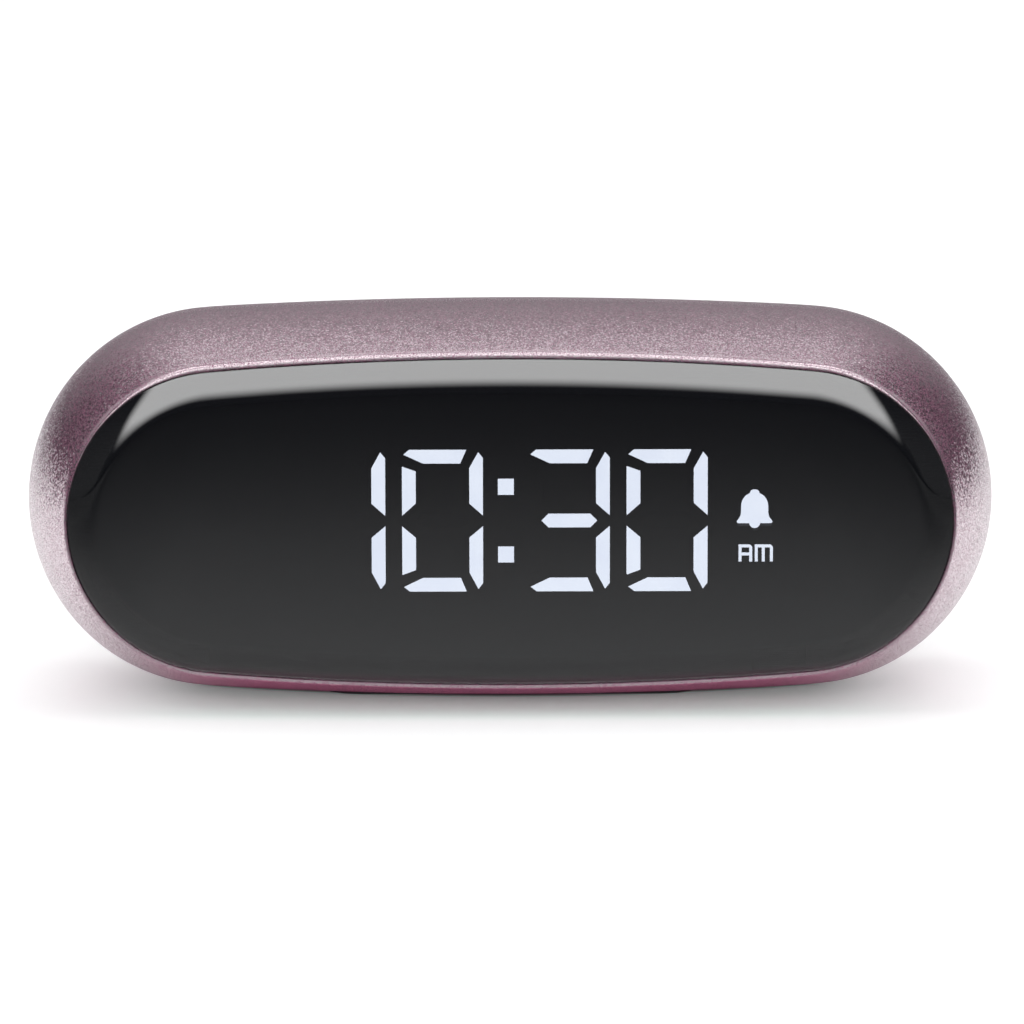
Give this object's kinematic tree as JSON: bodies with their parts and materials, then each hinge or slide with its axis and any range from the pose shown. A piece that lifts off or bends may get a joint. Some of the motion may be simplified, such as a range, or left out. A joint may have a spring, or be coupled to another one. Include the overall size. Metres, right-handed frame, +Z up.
{
  "type": "mini alarm clock",
  "caption": "Small barrel-shaped desk alarm clock: pink metal sleeve, dark pillow lens over a lit segment display, rear cover with push keys, alarm slider, speaker and charging socket.",
  "frame": {"origin": "on the table, under the middle of the case", "axes": "+X to the right of the display as seen by the reader, +Y from the display to the back, +Z up"},
  "size_m": [0.1, 0.0359, 0.0403],
  "materials": {
    "case_metal": "bead-blasted and anodised, fine sparkle",
    "foot_rubber": "matt silicone",
    "lens": "smoked acrylic, polished",
    "black_foam": "matt foam",
    "light_box": "moulded, matt",
    "lit_window": "diffusing, lit",
    "dark_window": "diffusing, unlit",
    "circuit_board": "solder mask",
    "led": "moulded",
    "screw_steel": "nickel plated",
    "frame_plastic": "moulded, matt",
    "battery_wrap": "foil pouch",
    "white_plastic": "moulded",
    "lead_sleeve": "flexible sleeve",
    "black_plastic": "moulded, matt",
    "plunger_plastic": "moulded",
    "bright_metal": "plated",
    "ceramic": "ceramic chips",
    "copper": "bare sheet",
    "speaker_paper": "pressed film",
    "cover_plastic": "fine texture, matt",
    "key_plastic": "satin"
  },
  "bodies": {
    "clock_body": {"case_shell": "case_metal", "base_pad": "foot_rubber", "front_lens": "lens", "lens_gasket": "black_foam", "speaker_gasket": "black_foam", "display_housing": "light_box", "lit_segments": "lit_window", "bell_window": "lit_window", "period_window": "lit_window", "unlit_segments": "dark_window", "display_board": "circuit_board", "main_board": "circuit_board", "led_chips": "led", "display_screws": "screw_steel", "board_screws": "screw_steel", "cover_screws": "screw_steel", "chassis": "frame_plastic", "battery_cell": "battery_wrap", "battery_tape": "white_plastic", "battery_plug": "white_plastic", "display_ribbon": "white_plastic", "ribbon_sockets": "white_plastic", "battery_leads": "lead_sleeve", "controller_chip": "black_plastic", "tact_switches": "black_plastic", "speaker_frame": "black_plastic", "usb_tongue": "black_plastic", "clock_crystal": "bright_metal", "slide_switch": "bright_metal", "usb_shell": "bright_metal", "speaker_magnet": "bright_metal", "board_passives": "ceramic", "touch_electrode": "copper", "touch_contact": "copper", "speaker_contacts": "copper", "speaker_cone": "speaker_paper", "rear_cover": "cover_plastic"},
    "time_button": {"time_key": "key_plastic", "time_plunger": "plunger_plastic"},
    "alarm_button": {"alarm_key": "key_plastic", "alarm_plunger": "plunger_plastic"},
    "plus_button": {"plus_key": "key_plastic", "plus_plunger": "plunger_plastic"},
    "minus_button": {"minus_key": "key_plastic", "minus_plunger": "plunger_plastic"},
    "alarm_switch": {"alarm_slider": "key_plastic", "slide_lever": "black_plastic"}
  },
  "joints": [
    {"name": "time_press", "type": "slide", "parent": "clock_body", "child": "time_button", "axis": [0, -1, 0], "range_m": [0, 0.0003], "stiffness_N_per_m": 3000},
    {"name": "alarm_press", "type": "slide", "parent": "clock_body", "child": "alarm_button", "axis": [0, -1, 0], "range_m": [0, 0.0003], "stiffness_N_per_m": 3000},
    {"name": "plus_press", "type": "slide", "parent": "clock_body", "child": "plus_button", "axis": [0, -1, 0], "range_m": [0, 0.0003], "stiffness_N_per_m": 3000},
    {"name": "minus_press", "type": "slide", "parent": "clock_body", "child": "minus_button", "axis": [0, -1, 0], "range_m": [0, 0.0003], "stiffness_N_per_m": 3000},
    {"name": "alarm_slide", "type": "slide", "parent": "clock_body", "child": "alarm_switch", "axis": [1, 0, 0], "range_m": [0, 0.002]}
  ]
}
